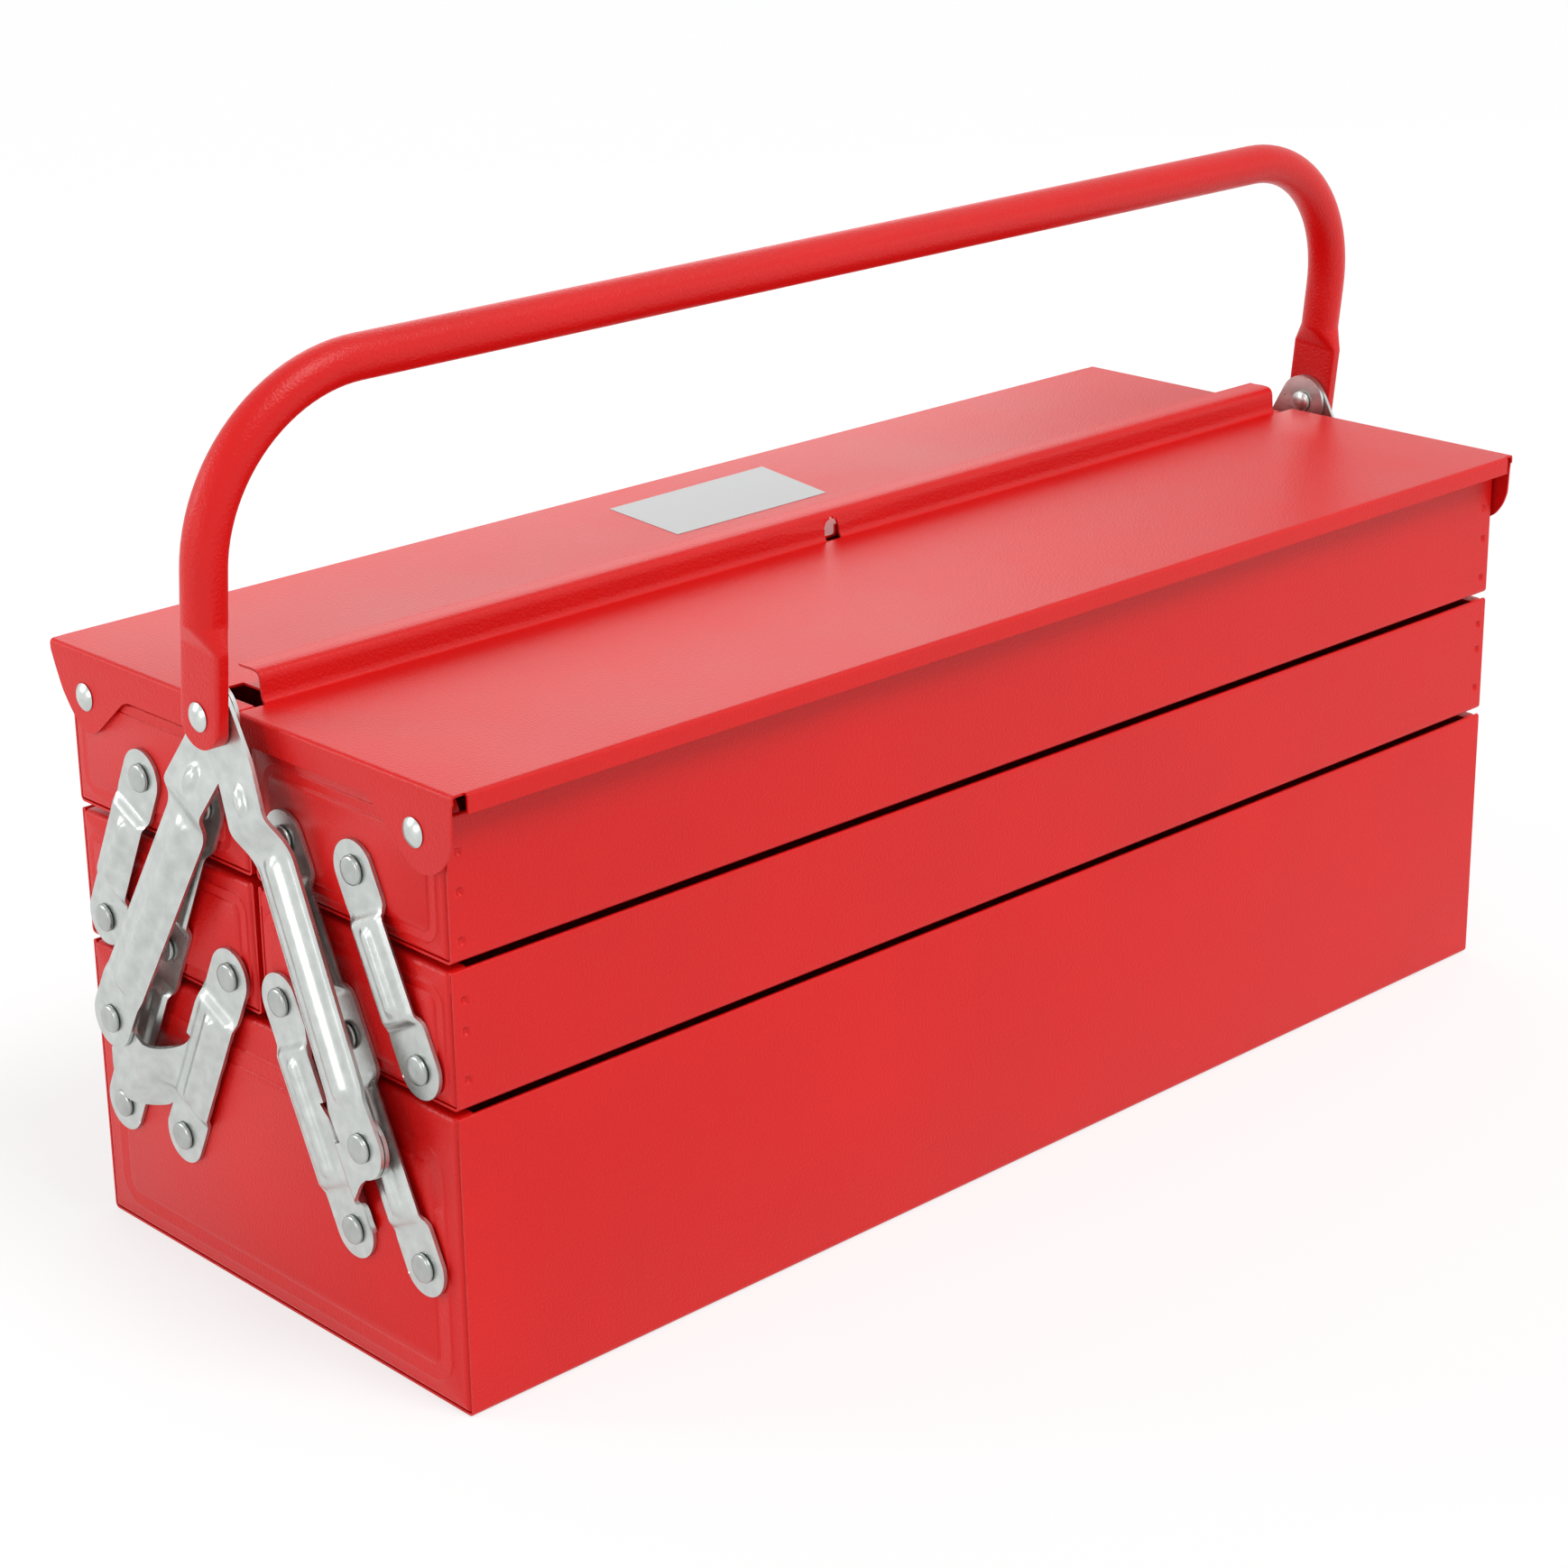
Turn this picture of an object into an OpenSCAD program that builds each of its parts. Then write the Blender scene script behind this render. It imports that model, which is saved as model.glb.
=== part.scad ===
// Cantilever tool box: a base tray, two middle trays and two top trays of folded sheet steel,
// carried at both ends on pressed links, with two hinged lids and a tube handle.
// Origin: centre of the base's underside. X runs along the length, -Y is the front, Z is up.

/* [Trays] */
// Length of every tray over its end panels
box_l = 560; // [480:1:640]
// Depth of the base tray from its front wall to its rear wall
box_w = 216; // [208:1:232]
// Height of the base tray
base_h = 110.5; // [100:0.5:130]
// Height of a middle tray
mid_h = 49.5; // [46:0.5:60]
// Height of a top tray at its outer wall
top_h = 51; // [48:0.5:60]
// Air between a tray's rim and the tray above it
stack_gap = 2.5; // [2.3:0.1:3.5]
// Air between the front trays and the rear trays
split_gap = 3; // [2:0.5:5]
// Thickness of the sheet steel
sheet_t = 1; // [0.8:0.1:1.2]
// Height of the hem folded into a wall's rim
hem_h = 7; // [5:0.5:10]
// Outside radius of the folded bottom edges
bend_r = 2; // [1.5:0.1:3]
// Width of the end panels' flanges
flange_w = 8; // [6:0.5:12]

/* [Pressed fields of the end panels] */
// How far the pressed field stands out of the panel
field_rise = 1; // [0.6:0.1:1.2]
// Width of the sloped band round the field
field_slope = 3; // [2:0.5:4]
// Base panel: border beside the field, below it and above it
base_border = [9.5, 8, 13.5]; // [6:0.5:16]
// Middle panels: border at the outer side, the inner side, below and above
mid_border = [4, 1.5, 3.5, 7]; // [1:0.5:10]
// Top panels: border at the outer side, the inner side, below and above
top_border = [4, 8.5, 6, 9.5]; // [1:0.5:12]

/* [Lids] */
// Height of a lid's top face above the rim of the tray's outer wall
lid_rise = 10; // [9:0.5:12]
// How far a lid's long flange stands out from the tray's wall
lid_reach = 9; // [7:0.5:12]
// Height of a lid's long flange
lid_flange = 7; // [5:0.5:9]
// Height of a lid's end skirt
lid_skirt = 11.5; // [9:0.5:14]
// Radius of the rounded ear round the hinge rivet
lid_ear_r = 15; // [12:0.5:17]
// Centre of the ear: distance out from the hinge, and depth below the lid's top face
lid_ear_at = [3.5, 16]; // [2:0.5:18]
// Length of the sloped edge from the end skirt to the ear
lid_ear_run = 13; // [8:0.5:18]
// Open length of the notch between the long flange and the end skirt
lid_notch = 4.5; // [3:0.5:7]
// Distance of the hinge from the tray's outer wall
hinge_in = 13; // [11:0.5:15]
// Depth of the hinge below the tray's outer rim
hinge_drop = 7.5; // [6:0.5:10]
// Height of the ridge on the front lid
ridge_h = 11; // [9:0.5:14]
// Width of the ridge's lip over the rear lid
ridge_w = 12; // [10:0.5:16]
// Air between the ridge's wall and the rear lid's upstand
ridge_gap = 1.5; // [1:0.1:2.5]
// Distance of the ridge's ends from the lid's ends
ridge_inset = 12; // [8:1:20]
// Cut-out at the rear lid's inner corners, along the length and across
corner_cut = [20, 18]; // [12:1:28]
// Width of the padlock hole
keyhole_w = 8; // [6:0.5:10]
// Height of the padlock hole
keyhole_h = 8.5; // [7:0.5:10]

/* [Linkage] */
// Lean of the links from upright when the box is shut, in degrees
link_lean = 26; // [24:0.5:28]
// Width of a link
link_w = 21; // [18:0.5:22]
// Thickness of a link
link_t = 1.5; // [1.2:0.1:2]
// How far a link's middle is raised above its flat ends
link_raise = 2.9; // [2.4:0.1:3.5]
// Length of a link's flat end past its rivet
pad_l = 14; // [13:0.5:17]
// Length of the step between a flat end and the raised middle
step_l = 5; // [3:0.5:7]
// Height of the rib along a link
rib_h = 1.2; // [0.6:0.1:1.6]
// Width of the rib's foot
rib_w = 9; // [6:0.5:12]
// Distance of the outer base pivots from the base's front or rear wall
base_pivot_in = 18.5; // [17:0.5:22]
// Depth of the base pivots below the base's rim
base_pivot_drop = 59.5; // [56:0.5:64]
// Height of the middle tray's pivots above its bottom
mid_pivot_up = 11.5; // [11:0.5:16]
// Height of the top tray's pivots above its bottom
top_pivot_up = 21.5; // [18:0.5:26]
// Distance of the innermost pivots from the middle plane
pivot_from_middle = 15.1; // [14:0.1:16]
// Plate's side ear: distance along the plate from its base pivot
ear_along = 28.6; // [27:0.2:31]
// Plate's side ear: how much further out it lies than the neighbouring link's pivots
ear_past = 1; // [0:0.5:3]
// Lift of the plate's side ear above the plate's raised middle
ear_lift = 7.5; // [7:0.1:8]
// Radius of the plate's side ear
ear_r = 11.5; // [10:0.5:12]
// Distance over which the plate's side arm climbs to the ear
web_run = 12; // [10:0.5:14]
// Width of a handle arm
arm_w = 22.5; // [20:0.5:23]
// Length of a handle arm's flat upper end below the handle pivot
arm_end_l = 21; // [20.5:0.5:24]
// Distance of an arm's outward crest below the handle pivot
arm_crest = 40; // [36:1:46]
// Length of the step below the crest
arm_step = 10; // [8:1:14]
// How far an arm's crest, its waist and the rear arm's upper end lie nearer the box than its lower end
arm_drops = [0.6, 5.6, 5]; // [0.4:0.1:6]
// Side play in an arm's upper hole, for the travel between shut and open
arm_play = 5.6; // [5.6:0.1:5.8]
// Lengthwise play in an arm's upper hole, below and above the pivot
arm_slack = [1.2, 0.2]; // [0.2:0.1:1.4]

/* [Rivets] */
// Diameter of a rivet's shank
rivet_d = 6; // [5:0.5:6.5]
// Diameter of a rivet's head
head_d = 10.5; // [9:0.5:12]
// Height of a rivet's head
head_h = 1.8; // [1.2:0.1:2.4]
// Height of a rivet's set end
tail_h = 1.2; // [1:0.1:1.5]
// Diameter of a rivet's set end
tail_d = 9; // [8:0.5:10]
// Bevel round a flat head
head_bevel = 0.8; // [0.4:0.1:1]
// Ring left flat round a hinge rivet's head
rivet_ring = 1.2; // [1:0.1:2]

/* [Handle] */
// Diameter of the handle's tube
tube_d = 16; // [14:0.5:18]
// Wall of the tube
tube_wall = 1.2; // [1:0.1:1.6]
// Height of the grip's centre above the handle's pivot
grip_h = 114; // [100:1:125]
// Lean of the resting handle towards the front
handle_lean = 6; // [0:1:12]
// Bend radius of the tube's centre line
handle_bend = 62; // [50:1:75]
// Height of the handle's pivot above the lids' top face
handle_pivot_up = 2; // [1:0.5:5]
// Thickness of the tube's flattened end
flat_t = 5.5; // [4.5:0.1:6.5]
// Width of the tube's flattened end
flat_w = 22; // [20:0.5:24]
// Length of the flattened end above the pivot
flat_up = 18; // [14:1:24]
// Length of the stretch from flat to round
flat_taper = 17; // [12:1:24]
// Distance from the pivot down to the tube's end
flat_down = 11.5; // [11:0.5:14]
// Radius of the flattened end's round tip
tip_r = 11.5; // [10.5:0.1:13]

/* [Clearances] */
// Air between faces that slide past each other
face_gap = 0.3; // [0.2:0.05:0.5]
// Air between a top tray's rounded corner and its lid
swing_gap = 0.5; // [0.3:0.1:1]
// Air round a shank in its hole
bore_gap = 0.05; // [0.03:0.01:0.1]
// Air between the crimped flanges and the pan
crimp_gap = 0.05; // [0.02:0.01:0.1]

/* [Hidden] */
$fn = 48;
eps = 0.01;
half_l = box_l / 2;
half_w = box_w / 2;
inner_a = split_gap / 2;

mid_z = base_h + stack_gap;
top_z = mid_z + mid_h + stack_gap;
rim_z = top_z + top_h;
lid_z = rim_z + lid_rise;
hinge = [half_w - hinge_in, rim_z - hinge_drop];
swing_r = lid_z - sheet_t - swing_gap - hinge[1];

base_out = [half_w - base_pivot_in, base_h - base_pivot_drop];
mid_pivot_z = mid_z + mid_pivot_up;
top_pivot_z = top_z + top_pivot_up;
lower_rise = mid_pivot_z - base_out[1];
link_spacing = base_out[0] - lower_rise * tan(link_lean) - pivot_from_middle;
ear_out = link_spacing + ear_past;
base_in = base_out - [link_spacing, 0];
upper_rise = top_pivot_z - mid_pivot_z;
lower_l = lower_rise / cos(link_lean);
upper_l = upper_rise / cos(link_lean);
mid_mid = [base_out[0] - lower_rise * tan(link_lean), mid_pivot_z];
mid_out = mid_mid + [link_spacing, 0];
mid_in = mid_mid - [link_spacing, 0];
top_in = [mid_mid[0] - upper_rise * tan(link_lean), top_pivot_z];
top_out = top_in + [link_spacing, 0];

link_dir = [-sin(link_lean), cos(link_lean)];
link_side = [cos(link_lean), sin(link_lean)];
ear = base_in + ear_along * link_dir + ear_out * link_side;
apex = [0, lid_z + handle_pivot_up];
arm_l = norm(apex - ear);
arm_lean = asin((ear[0] - apex[0]) / arm_l);

// Layers, measured outwards from the end panels' border
link_s = field_rise + face_gap;
body_s = link_s + link_raise;
ear_s = body_s + ear_lift;
arm_s = ear_s + link_t + face_gap;
rear_arm_s = arm_s - arm_drops[2];
front_arm_s = rear_arm_s + link_t + face_gap;
handle_s = front_arm_s + link_t + face_gap;
skirt_s = field_rise + face_gap;
leg_x = half_l + handle_s + flat_t / 2;
lid_half_l = half_l + skirt_s + sheet_t;
lid_front_a = half_w + lid_reach;

// Inner edges of the lids, the ridge's wall and the rear lid's upstand
ridge_a = inner_a + face_gap;
upstand_a = ridge_a + sheet_t + ridge_gap;
upstand_h = ridge_h - sheet_t - ridge_gap;
keyhole_r = keyhole_w / 2;
// Angle below level at which a lid skirt's slope meets its ear
ear_meet = 37;

hole_d = rivet_d + 2 * bore_gap;
slot_d = rivet_d + arm_slack[0] + arm_slack[1];
slot_back = (arm_slack[0] - arm_slack[1]) / 2;

// Edges of a plate's side arm, as [along the plate, out from its line]
web_upper = [
    [ear_along + ear_r, -ear_out], [ear_along + 1, -ear_out + ear_r], [ear_along + 1, -19],
    [37, -12.5], [45, -8]
];
web_lower_front = [[pad_l, 0], [pad_l, -16], [16, -31], [ear_along, -ear_out - ear_r]];
web_lower_rear = [[pad_l, 0], [4, -9.5], [2, -16.5], [4, -31], [ear_along, -ear_out - ear_r]];
web_foot = link_w / 2 + 2;
web_top = link_w / 2 + web_run;
// Level stretch of an arm at the ear, long enough to pass over the whole ear-high part of the plate
arm_level = ear_out - web_top + 1;

// Frames: front pieces are drawn at the rear and mirrored, left pieces at the right end.
// On an end, x is the distance from the middle plane, y is the height, z points out of the box.
module on_side(side) {
    mirror([0, side == "front" ? 1 : 0, 0]) children();
}

module on_end(side, end) {
    mirror([end == "left" ? 1 : 0, 0, 0])
        on_side(side)
            translate([half_l, 0, 0])
                rotate([90, 0, 90])
                    children();
}

// A link's own frame: x runs along the link from its lower pivot, z points out of the box
module on_link(pivot, lean) {
    translate([pivot[0], pivot[1], 0]) rotate([0, 0, 90 + lean]) children();
}

// Block with sloped sides, its foot from p to q and its top face h above, by slope smaller
module hip_block(p, q, h, slope) {
    intersection() {
        translate([0, q[1], 0]) rotate([90, 0, 0]) linear_extrude(q[1] - p[1])
            polygon([[p[0], 0], [q[0], 0], [q[0] - slope, h], [p[0] + slope, h]]);
        translate([p[0], 0, 0]) rotate([90, 0, 90]) linear_extrude(q[0] - p[0])
            polygon([[p[1], 0], [q[1], 0], [q[1] - slope, h], [p[1] + slope, h]]);
    }
}

// Square with its two lower corners rounded
module pan_outline(a0, a1, b0, b1, r) {
    translate([a0 + r, b0]) square([a1 - a0 - 2 * r, b1 - b0]);
    translate([a0, b0 + r]) square([a1 - a0, b1 - b0 - r]);
    translate([a0 + r, b0 + r]) circle(r);
    translate([a1 - r, b0 + r]) circle(r);
}

// Wall's rim: a hem folded inwards, with a round top
module hem(a, toward, b) {
    translate([a + toward * sheet_t, b - sheet_t]) circle(sheet_t);
    translate([min(a, a + toward * 2 * sheet_t), b - hem_h]) square([2 * sheet_t, hem_h - sheet_t]);
}

// Profile of a folded pan: two long walls and the bottom, with hemmed rims at b_in and b_out
module pan_profile(a0, a1, b0, b_in, b_out) {
    difference() {
        pan_outline(a0, a1, b0, b_in - sheet_t, bend_r);
        pan_outline(a0 + sheet_t, a1 - sheet_t, b0 + sheet_t, b_in, bend_r - sheet_t);
        translate([a1 - 2 * sheet_t, b_out - sheet_t]) square([3 * sheet_t, b_in]);
    }
    hem(a0, 1, b_in);
    hem(a1, -1, b_out);
}

// Pan along the whole length: the folded part of the hems stops at the end panels' flanges
module pan(a0, a1, b0, b_in, b_out) {
    end_x = half_l - flange_w - crimp_gap;
    difference() {
        rotate([90, 0, 90]) linear_extrude(2 * (half_l - crimp_gap), center = true)
            pan_profile(a0, a1, b0, b_in, b_out);
        for (m = [0, 1])
            mirror([m, 0, 0])
                translate([end_x, a0 + sheet_t, b_out - hem_h - eps])
                    cube([flange_w + 1, a1 - a0 - 2 * sheet_t, b_in]);
    }
}

// Outline of an end panel inside its pan, shrunk by inset
module end_outline(a0, a1, b0, b1, inset) {
    gap = sheet_t + crimp_gap + inset;
    pan_outline(a0 + gap, a1 - gap, b0 + gap, b1 - inset, max(bend_r - gap, 0.4));
}

// A top tray's end panel is as high as the lid allows, and round about the hinge
module top_end_outline(inset) {
    gap = sheet_t + crimp_gap + inset;
    end_outline(inner_a, half_w, top_z, hinge[1] + inset, inset);
    translate([inner_a + gap, hinge[1] - 1]) square([hinge[0] - inner_a - gap, swing_r + 1 - inset]);
    intersection() {
        translate(hinge) circle(swing_r - inset);
        translate([hinge[0] - 1, hinge[1] - 1]) square([half_w - gap - hinge[0] + 1, swing_r + 1]);
    }
}

module panel_holes(holes) {
    for (h = holes)
        translate([h[0], h[1], -flange_w]) cylinder(d = hole_d, h = flange_w + 2 * field_rise);
}

// Pressed field of an end panel, with room left flat round the hinge rivet
module field(p, q, keep_clear) {
    difference() {
        hip_block(p, q, field_rise, field_slope);
        for (h = keep_clear)
            translate([h[0], h[1], -eps]) cylinder(d = head_d + 2 * rivet_ring, h = 2 * field_rise);
    }
}

module base_end() {
    p = [base_border[0] - half_w, base_border[1]];
    q = [half_w - base_border[0], base_h - base_border[2]];
    pivots = [base_out, base_in, [-base_out[0], base_out[1]], [-base_in[0], base_in[1]]];
    difference() {
        union() {
            translate([0, 0, -flange_w]) linear_extrude(flange_w) end_outline(-half_w, half_w, 0, base_h, 0);
            field(p, q, []);
        }
        translate([0, 0, -flange_w - eps]) linear_extrude(flange_w - sheet_t + eps)
            end_outline(-half_w, half_w, 0, base_h, sheet_t);
        translate([0, 0, -sheet_t - eps]) field(p, q, []);
        panel_holes(pivots);
    }
}

module mid_end() {
    p = [inner_a + mid_border[1], mid_z + mid_border[2]];
    q = [half_w - mid_border[0], mid_z + mid_h - mid_border[3]];
    difference() {
        union() {
            translate([0, 0, -flange_w]) linear_extrude(flange_w)
                end_outline(inner_a, half_w, mid_z, mid_z + mid_h, 0);
            field(p, q, []);
        }
        translate([0, 0, -flange_w - eps]) linear_extrude(flange_w - sheet_t + eps)
            end_outline(inner_a, half_w, mid_z, mid_z + mid_h, sheet_t);
        translate([0, 0, -sheet_t - eps]) field(p, q, []);
        panel_holes([mid_out, mid_mid, mid_in]);
    }
}

module top_end() {
    p = [inner_a + top_border[1], top_z + top_border[2]];
    q = [half_w - top_border[0], hinge[1] + swing_r - top_border[3]];
    difference() {
        union() {
            translate([0, 0, -flange_w]) linear_extrude(flange_w) top_end_outline(0);
            field(p, q, [hinge]);
        }
        translate([0, 0, -flange_w - eps]) linear_extrude(flange_w - sheet_t + eps) top_end_outline(sheet_t);
        translate([0, 0, -sheet_t - eps]) field(p, q, [hinge]);
        panel_holes([top_out, top_in, hinge]);
    }
}

module base_pan() {
    color("crimson") pan(-half_w, half_w, 0, base_h, base_h);
}

module mid_pan(side) {
    color("crimson") on_side(side) pan(inner_a, half_w, mid_z, mid_z + mid_h, mid_z + mid_h);
}

module top_pan(side) {
    color("crimson") on_side(side) pan(inner_a, half_w, top_z, hinge[1] + swing_r, rim_z);
}

// Arch-topped hole along Y through the ridge and the upstand
module padlock_hole() {
    rotate([90, 0, 0]) linear_extrude(4 * ridge_w, center = true) {
        translate([-keyhole_r, lid_z]) square([keyhole_w, keyhole_h - keyhole_r]);
        translate([0, lid_z + keyhole_h - keyhole_r]) circle(keyhole_r);
    }
}

// End skirt of a lid from its inner edge to its front, with the ear round the hinge
module lid_skirt_outline(a0) {
    b0 = lid_z - lid_skirt;
    ear_c = [hinge[0] + lid_ear_at[0], lid_z - lid_ear_at[1]];
    translate([a0, b0]) square([lid_front_a - 2 * sheet_t - a0, lid_skirt]);
    translate(ear_c) circle(lid_ear_r);
    polygon([
        [ear_c[0] - lid_ear_r - lid_ear_run, b0 + eps],
        ear_c - lid_ear_r * [cos(ear_meet), sin(ear_meet)],
        [ear_c[0], b0 + eps]
    ]);
}

module lid_skirts(a0) {
    for (m = [0, 1])
        mirror([m, 0, 0])
            translate([half_l + skirt_s, 0, 0])
                rotate([90, 0, 90])
                    linear_extrude(sheet_t)
                        difference() {
                            lid_skirt_outline(a0);
                            translate(hinge) circle(d = hole_d);
                        }
}

// Lid's top sheet from a0 outwards, and the long flange between the notches
module lid_sheet(a0) {
    flange_half = half_l + skirt_s - lid_notch;
    translate([-lid_half_l, a0, lid_z - sheet_t])
        cube([2 * lid_half_l, lid_front_a - a0 - sheet_t, sheet_t]);
    translate([-flange_half, lid_front_a - 2 * sheet_t, lid_z - sheet_t])
        cube([2 * flange_half, 2 * sheet_t, sheet_t]);
    translate([-flange_half, lid_front_a - sheet_t, lid_z - lid_flange])
        cube([2 * flange_half, sheet_t, lid_flange]);
}

module lid_front() {
    ridge_half = lid_half_l - ridge_inset;
    color("crimson") on_side("front") difference() {
        union() {
            lid_sheet(-ridge_a - sheet_t);
            lid_skirts(inner_a);
            translate([-ridge_half, -ridge_a - sheet_t, lid_z - sheet_t])
                cube([2 * ridge_half, sheet_t, ridge_h + sheet_t]);
            translate([-ridge_half, -ridge_a - ridge_w, lid_z + ridge_h - sheet_t])
                cube([2 * ridge_half, ridge_w, sheet_t]);
        }
        padlock_hole();
        for (m = [0, 1])
            mirror([m, 0, 0])
                translate([ridge_half, -ridge_w, lid_z - 2 * sheet_t])
                    cube([ridge_inset + 1, ridge_w + inner_a, 3 * sheet_t]);
    }
}

module lid_rear() {
    upstand_half = lid_half_l - max(corner_cut[0], ridge_inset);
    color("crimson") difference() {
        union() {
            lid_sheet(upstand_a);
            lid_skirts(upstand_a + corner_cut[1]);
            translate([-upstand_half, upstand_a, lid_z - sheet_t])
                cube([2 * upstand_half, sheet_t, upstand_h]);
        }
        padlock_hole();
        for (m = [0, 1])
            mirror([m, 0, 0])
                translate([lid_half_l - corner_cut[0], upstand_a - 1, lid_z - 2 * sheet_t])
                    cube([corner_cut[0] + 1, corner_cut[1] + 1, 3 * sheet_t]);
    }
}

// Flat strip bent along its length: path holds [distance, height] of its underside
module strip(path, w) {
    back = [for (i = [len(path) - 1 : -1 : 0]) path[i] + [0, link_t]];
    rotate([90, 0, 0]) linear_extrude(w, center = true) polygon(concat(path, back));
}

module stadium(l, w) {
    translate([0, -w / 2]) square([l, w]);
    circle(d = w);
    translate([l, 0]) circle(d = w);
}

module link_holes(places) {
    for (p = places)
        translate([p, 0, 0]) cylinder(d = hole_d, h = ear_s + arm_s);
}

// Rib pressed into the raised middle of a link
module rib(x0, x1, s) {
    translate([0, 0, s + link_t - eps]) hip_block([x0, -rib_w / 2], [x1, rib_w / 2], rib_h, rib_w / 4);
}

function raised(x0, x1) = [
    [x0 + pad_l, link_s], [x0 + pad_l + step_l, body_s], [x1 - pad_l - step_l, body_s], [x1 - pad_l, link_s]
];

module link(path, l, pivots, ribs) {
    difference() {
        union() {
            intersection() {
                strip(path, link_w);
                linear_extrude(arm_s + link_t) stadium(l, link_w);
            }
            for (r = ribs)
                rib(r[0] + pad_l + step_l, r[1] - pad_l - step_l, body_s);
        }
        link_holes(pivots);
    }
}

module short_link(side, end) {
    r = link_w / 2;
    path = concat([[-r, link_s]], raised(0, upper_l), [[upper_l + r, link_s]]);
    color("silver") on_end(side, end) on_link(mid_out, link_lean)
        link(path, upper_l, [0, upper_l], [[0, upper_l]]);
}

module long_link(side, end) {
    r = link_w / 2;
    l = lower_l + upper_l;
    path = concat([[-r, link_s]], raised(0, lower_l), raised(lower_l, l), [[l + r, link_s]]);
    color("silver") on_end(side, end) on_link(base_out, link_lean)
        link(path, l, [0, lower_l, l], [[0, lower_l], [lower_l, l]]);
}

// Part of a plate's side arm between x0 and x1 along the plate: it climbs from height foot_s to the ear
module web_ramp(x0, x1, foot_v, foot_s) {
    far_v = ear_out + ear_r;
    translate([x0, 0, 0]) rotate([90, 0, 90]) mirror([1, 0, 0]) linear_extrude(x1 - x0)
        polygon([
            [0, foot_s], [foot_v, foot_s], [web_top, ear_s], [far_v, ear_s],
            [far_v, ear_s + link_t], [web_top - 1, ear_s + link_t], [foot_v - 1, foot_s + link_t],
            [0, foot_s + link_t]
        ]);
}

// Side arm: beside the lower flat end it starts at that end's height, further up at the raised middle's
module plate_web(lower_edge) {
    split = pad_l + step_l;
    intersection() {
        linear_extrude(arm_s) {
            polygon(concat(lower_edge, web_upper));
            translate([ear_along, -ear_out]) circle(ear_r);
        }
        union() {
            web_ramp(-pad_l, split, web_foot, link_s);
            web_ramp(split - eps, lower_l, link_w / 2, body_s);
        }
    }
}

module link_plate(side, end) {
    r = link_w / 2;
    path = concat([[-r, link_s]], raised(0, lower_l), [[lower_l + r, link_s]]);
    lower_edge = side == "front" ? web_lower_front : web_lower_rear;
    color("silver") on_end(side, end) on_link(base_in, link_lean) difference() {
        union() {
            link(path, lower_l, [], [[0, lower_l]]);
            plate_web(lower_edge);
        }
        link_holes([0, lower_l]);
        translate([ear_along, -ear_out, 0]) cylinder(d = hole_d, h = arm_s);
    }
}

// Rib on a stretch of an arm that runs from height s0 at x0 to height s1 at x1
module leaning_rib(x0, s0, x1, s1) {
    translate([x0, 0, s0 + link_t]) rotate([0, atan2(s0 - s1, x1 - x0), 0]) translate([0, 0, -eps])
        hip_block([step_l, -rib_w / 2], [x1 - x0 - step_l, rib_w / 2], rib_h, rib_w / 4);
}

// An arm leans towards the box up to its waist, steps out to its crest and leans in again to the handle
module handle_arm(side, end) {
    r = arm_w / 2;
    end_s = side == "front" ? front_arm_s : rear_arm_s;
    crest_x = arm_l - arm_crest;
    waist = [crest_x - arm_step, arm_s - arm_drops[1]];
    path = [
        [-r, arm_s], [arm_level, arm_s], waist, [crest_x, arm_s - arm_drops[0]],
        [arm_l - arm_end_l, end_s], [arm_l + r, end_s]
    ];
    color("silver") on_end(side, end) on_link(ear, arm_lean) difference() {
        union() {
            intersection() {
                strip(path, arm_w);
                linear_extrude(2 * arm_s) stadium(arm_l, arm_w);
            }
            leaning_rib(arm_level, arm_s, waist[0], waist[1]);
        }
        cylinder(d = hole_d, h = 2 * arm_s);
        translate([arm_l - slot_back, 0, 0]) cylinder(d = slot_d, h = 2 * arm_s);
        translate([arm_l - slot_back, arm_play, 0]) cylinder(d = slot_d, h = 2 * arm_s);
        translate([arm_l - slot_back - slot_d / 2, 0, 0]) cube([slot_d, arm_play, 2 * arm_s]);
    }
}

// Rivet through layers from height s0 to s1, with a low or a domed head
module rivet(s0, s1, domed) {
    r = head_d / 2;
    ball_r = (r * r + head_h * head_h) / (2 * head_h);
    translate([0, 0, s0 - tail_h]) cylinder(d = tail_d, h = tail_h);
    translate([0, 0, s0 - eps]) cylinder(d = rivet_d, h = s1 - s0 + face_gap + 2 * eps);
    translate([0, 0, s1 + face_gap]) {
        if (domed)
            intersection() {
                cylinder(r = r, h = head_h);
                translate([0, 0, head_h - ball_r]) sphere(ball_r, $fn = 64);
            }
        else {
            cylinder(r = r, h = head_h - head_bevel);
            translate([0, 0, head_h - head_bevel - eps])
                cylinder(r1 = r, r2 = r - head_bevel, h = head_bevel);
        }
    }
}

// Link rivets of one tray at both ends
module link_rivets(side, places) {
    color("lightgray") for (end = ["left", "right"])
        on_end(side, end) for (p = places)
            translate(p) rivet(field_rise - sheet_t - crimp_gap, link_s + link_t, false);
}

module base_rivets() {
    for (side = ["front", "rear"])
        link_rivets(side, [base_out, base_in]);
}

module lid_rivets(side) {
    color("whitesmoke") for (end = ["left", "right"])
        on_end(side, end) translate(hinge) rivet(-sheet_t, skirt_s + sheet_t, true);
}

module arm_rivet(side, end) {
    color("lightgray") on_end(side, end) translate(ear) rivet(ear_s, arm_s + link_t, false);
}

module handle_rivets() {
    color("whitesmoke") for (end = ["left", "right"])
        on_end("rear", end) translate(apex) rivet(rear_arm_s - face_gap, handle_s + flat_t, true);
}

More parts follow.
